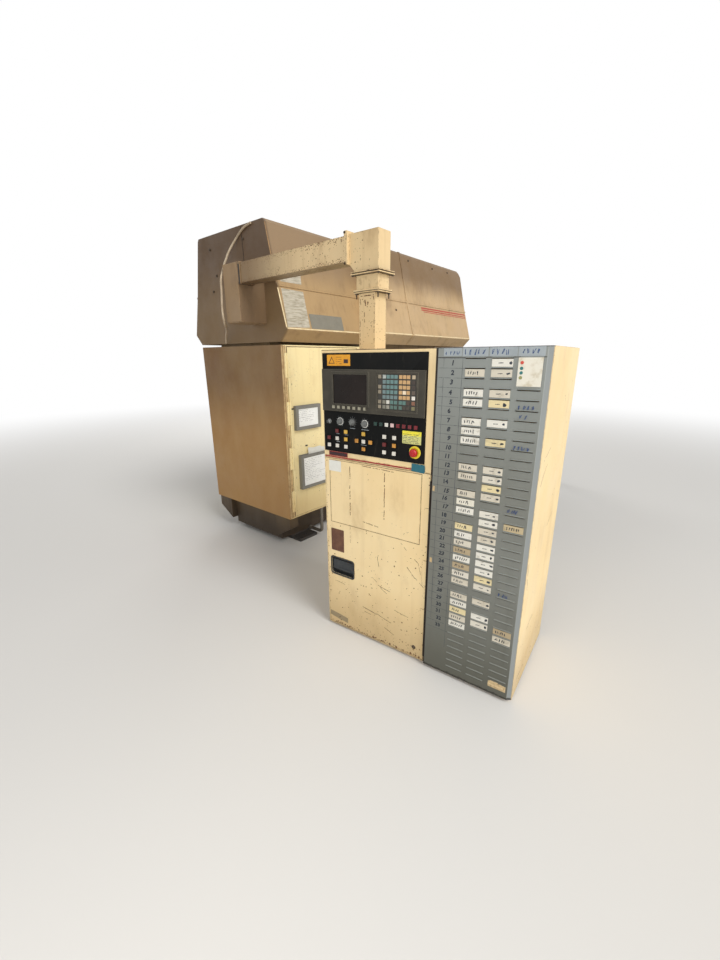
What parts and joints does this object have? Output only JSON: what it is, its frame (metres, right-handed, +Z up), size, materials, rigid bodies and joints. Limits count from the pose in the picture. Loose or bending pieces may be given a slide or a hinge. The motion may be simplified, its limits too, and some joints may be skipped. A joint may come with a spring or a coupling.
{
  "type": "cnc turret punch press",
  "caption": "C-frame turret punch press with tall hooded cabinet, work table and cross beam, and a free-standing control console joined by an overhead cable duct.",
  "frame": {"origin": "centre of the anchor bolt pattern at floor level, under the C frame", "axes": "+X along the press from the closed rear end to the punching head, +Y away from the control console's side, +Z up"},
  "size_m": [3.9874, 3.9853, 2.414],
  "materials": {
    "cream_paint": "semi-gloss, aged",
    "grey_paint": "matt",
    "blue_grey_paint": "satin",
    "panel_plate": "matt",
    "motor_paint": "satin",
    "dark_iron": "matt",
    "pipe_metal": "dull",
    "turret_steel": "satin",
    "tool_steel": "satin",
    "table_steel": "worn",
    "clamp_steel": "satin",
    "bright_rod": "polished",
    "black_plastic": "matt",
    "screen_face": "gloss",
    "key_plastic": "satin",
    "knob_plastic": "satin",
    "lamp_plastic": "gloss",
    "card": "matt",
    "signal_red": "gloss",
    "button_red": "satin",
    "button_dark_red": "satin",
    "button_yellow": "satin",
    "button_amber": "satin",
    "button_white": "satin"
  },
  "bodies": {
    "machine": {"c_frame": "cream_paint", "levelling_feet": "dark_iron", "rear_hood": "cream_paint", "head_hood": "cream_paint", "rear_cabinet": "cream_paint", "junction_box": "cream_paint", "cable_arm": "cream_paint", "duct_elbow": "cream_paint", "duct_collar": "cream_paint", "riser_duct": "cream_paint", "air_pipe": "pipe_metal", "ram_cylinder": "grey_paint", "turret_motors": "motor_paint", "work_table": "table_steel", "console_cabinet": "cream_paint", "operator_panel": "panel_plate", "display_unit": "black_plastic", "display_screen": "screen_face", "key_sheet": "key_plastic", "indicator_lamps": "lamp_plastic", "louvre_panel": "blue_grey_paint", "tool_labels": "card"},
    "upper_tooling": {"upper_turret": "turret_steel", "punch_tools": "tool_steel"},
    "lower_tooling": {"lower_turret": "turret_steel", "die_tools": "tool_steel"},
    "ram_body": {"ram": "bright_rod"},
    "beam_body": {"cross_beam": "cream_paint"},
    "carriage_body": {"carriage": "motor_paint", "work_clamps": "clamp_steel"},
    "jaw_1": {"clamp_jaw_1": "clamp_steel"},
    "jaw_2": {"clamp_jaw_2": "clamp_steel"},
    "side_door": {"cabinet_door": "cream_paint", "document_boxes": "grey_paint"},
    "lower_door": {"console_door": "cream_paint"},
    "latch": {"door_latch": "black_plastic"},
    "turn_knob_1": {"knob_1": "knob_plastic"},
    "turn_knob_2": {"knob_2": "knob_plastic"},
    "turn_knob_3": {"knob_3": "knob_plastic"},
    "key": {"key_switch": "bright_rod"},
    "stop": {"stop_button": "signal_red"},
    "push_1": {"button_1": "button_red"},
    "push_2": {"button_2": "button_yellow"},
    "push_3": {"button_3": "button_dark_red"},
    "push_4": {"button_4": "button_white"},
    "push_5": {"button_5": "button_yellow"},
    "push_6": {"button_6": "button_white"},
    "push_7": {"button_7": "button_white"},
    "push_8": {"button_8": "button_white"},
    "push_9": {"button_9": "button_yellow"},
    "push_10": {"button_10": "button_amber"},
    "push_11": {"button_11": "button_white"},
    "push_12": {"button_12": "button_amber"},
    "push_13": {"button_13": "button_amber"},
    "push_14": {"button_14": "button_white"},
    "push_15": {"button_15": "button_white"},
    "push_16": {"button_16": "button_dark_red"},
    "push_17": {"button_17": "button_amber"},
    "push_18": {"button_18": "button_white"},
    "push_19": {"button_19": "button_white"}
  },
  "joints": [
    {"name": "upper_turret_spin", "type": "hinge", "parent": "machine", "child": "upper_tooling", "pos_m": [0.35, 0, 1.04], "axis": [0, 0, 1], "continuous": true},
    {"name": "lower_turret_spin", "type": "hinge", "parent": "machine", "child": "lower_tooling", "pos_m": [0.35, 0, 0.88], "axis": [0, 0, 1], "continuous": true},
    {"name": "ram_stroke", "type": "slide", "parent": "machine", "child": "ram_body", "axis": [0, 0, -1], "range_m": [0, 0.03]},
    {"name": "beam_travel", "type": "slide", "parent": "machine", "child": "beam_body", "axis": [-1, 0, 0], "range_m": [0, 0.88]},
    {"name": "carriage_travel", "type": "slide", "parent": "beam_body", "child": "carriage_body", "axis": [0, 1, 0], "range_m": [-0.65, 0.65]},
    {"name": "clamp_jaw_1_pivot", "type": "hinge", "parent": "carriage_body", "child": "jaw_1", "pos_m": [1.9097, -0.45, 1], "axis": [0, 1, 0], "range_deg": [0, 15]},
    {"name": "clamp_jaw_2_pivot", "type": "hinge", "parent": "carriage_body", "child": "jaw_2", "pos_m": [1.9097, 0.45, 1], "axis": [0, 1, 0], "range_deg": [0, 15]},
    {"name": "cabinet_door_hinge", "type": "hinge", "parent": "machine", "child": "side_door", "pos_m": [-1.2135, -0.517, 0.94], "axis": [0, 0, -1], "range_deg": [0, 100]},
    {"name": "console_door_hinge", "type": "hinge", "parent": "machine", "child": "lower_door", "pos_m": [-1.70052, -2.00034, 0.54], "axis": [0, 0, 1], "range_deg": [0, 100]},
    {"name": "latch_pivot", "type": "hinge", "parent": "lower_door", "child": "latch", "pos_m": [-1.73124, -1.49113, 0.431], "axis": [-0.0837, 0.9965, 0], "range_deg": [0, 35], "stiffness_Nm_per_rad": 0.3},
    {"name": "knob_1_turn", "type": "hinge", "parent": "machine", "child": "turn_knob_1", "pos_m": [-1.74867, -1.49862, 1.212], "axis": [-0.9965, -0.0837, 0], "range_deg": [-60, 60]},
    {"name": "knob_2_turn", "type": "hinge", "parent": "machine", "child": "turn_knob_2", "pos_m": [-1.74239, -1.57335, 1.214], "axis": [-0.9965, -0.0837, 0], "range_deg": [-60, 60]},
    {"name": "knob_3_turn", "type": "hinge", "parent": "machine", "child": "turn_knob_3", "pos_m": [-1.73637, -1.6451, 1.211], "axis": [-0.9965, -0.0837, 0], "range_deg": [-60, 60]},
    {"name": "key_turn", "type": "hinge", "parent": "machine", "child": "key", "pos_m": [-1.75635, -1.43102, 1.208], "axis": [-0.9965, -0.0837, 0], "range_deg": [-90, 0]},
    {"name": "stop_push", "type": "slide", "parent": "machine", "child": "stop", "axis": [0.9965, 0.0837, 0], "range_m": [0, 0.006], "stiffness_N_per_m": 800},
    {"name": "button_1_push", "type": "slide", "parent": "machine", "child": "push_1", "axis": [0.9965, 0.0837, 0], "range_m": [0, 0.003], "stiffness_N_per_m": 300},
    {"name": "button_2_push", "type": "slide", "parent": "machine", "child": "push_2", "axis": [0.9965, 0.0837, 0], "range_m": [0, 0.003], "stiffness_N_per_m": 300},
    {"name": "button_3_push", "type": "slide", "parent": "machine", "child": "push_3", "axis": [0.9965, 0.0837, 0], "range_m": [0, 0.003], "stiffness_N_per_m": 300},
    {"name": "button_4_push", "type": "slide", "parent": "machine", "child": "push_4", "axis": [0.9965, 0.0837, 0], "range_m": [0, 0.003], "stiffness_N_per_m": 300},
    {"name": "button_5_push", "type": "slide", "parent": "machine", "child": "push_5", "axis": [0.9965, 0.0837, 0], "range_m": [0, 0.003], "stiffness_N_per_m": 300},
    {"name": "button_6_push", "type": "slide", "parent": "machine", "child": "push_6", "axis": [0.9965, 0.0837, 0], "range_m": [0, 0.003], "stiffness_N_per_m": 300},
    {"name": "button_7_push", "type": "slide", "parent": "machine", "child": "push_7", "axis": [0.9965, 0.0837, 0], "range_m": [0, 0.003], "stiffness_N_per_m": 300},
    {"name": "button_8_push", "type": "slide", "parent": "machine", "child": "push_8", "axis": [0.9965, 0.0837, 0], "range_m": [0, 0.003], "stiffness_N_per_m": 300},
    {"name": "button_9_push", "type": "slide", "parent": "machine", "child": "push_9", "axis": [0.9965, 0.0837, 0], "range_m": [0, 0.003], "stiffness_N_per_m": 300},
    {"name": "button_10_push", "type": "slide", "parent": "machine", "child": "push_10", "axis": [0.9965, 0.0837, 0], "range_m": [0, 0.003], "stiffness_N_per_m": 300},
    {"name": "button_11_push", "type": "slide", "parent": "machine", "child": "push_11", "axis": [0.9965, 0.0837, 0], "range_m": [0, 0.003], "stiffness_N_per_m": 300},
    {"name": "button_12_push", "type": "slide", "parent": "machine", "child": "push_12", "axis": [0.9965, 0.0837, 0], "range_m": [0, 0.003], "stiffness_N_per_m": 300},
    {"name": "button_13_push", "type": "slide", "parent": "machine", "child": "push_13", "axis": [0.9965, 0.0837, 0], "range_m": [0, 0.003], "stiffness_N_per_m": 300},
    {"name": "button_14_push", "type": "slide", "parent": "machine", "child": "push_14", "axis": [0.9965, 0.0837, 0], "range_m": [0, 0.003], "stiffness_N_per_m": 300},
    {"name": "button_15_push", "type": "slide", "parent": "machine", "child": "push_15", "axis": [0.9965, 0.0837, 0], "range_m": [0, 0.003], "stiffness_N_per_m": 300},
    {"name": "button_16_push", "type": "slide", "parent": "machine", "child": "push_16", "axis": [0.9965, 0.0837, 0], "range_m": [0, 0.003], "stiffness_N_per_m": 300},
    {"name": "button_17_push", "type": "slide", "parent": "machine", "child": "push_17", "axis": [0.9965, 0.0837, 0], "range_m": [0, 0.003], "stiffness_N_per_m": 300},
    {"name": "button_18_push", "type": "slide", "parent": "machine", "child": "push_18", "axis": [0.9965, 0.0837, 0], "range_m": [0, 0.003], "stiffness_N_per_m": 300},
    {"name": "button_19_push", "type": "slide", "parent": "machine", "child": "push_19", "axis": [0.9965, 0.0837, 0], "range_m": [0, 0.003], "stiffness_N_per_m": 300}
  ],
  "couplings": [
    {"joint": "lower_turret_spin", "follows": "upper_turret_spin", "ratio": 1}
  ]
}
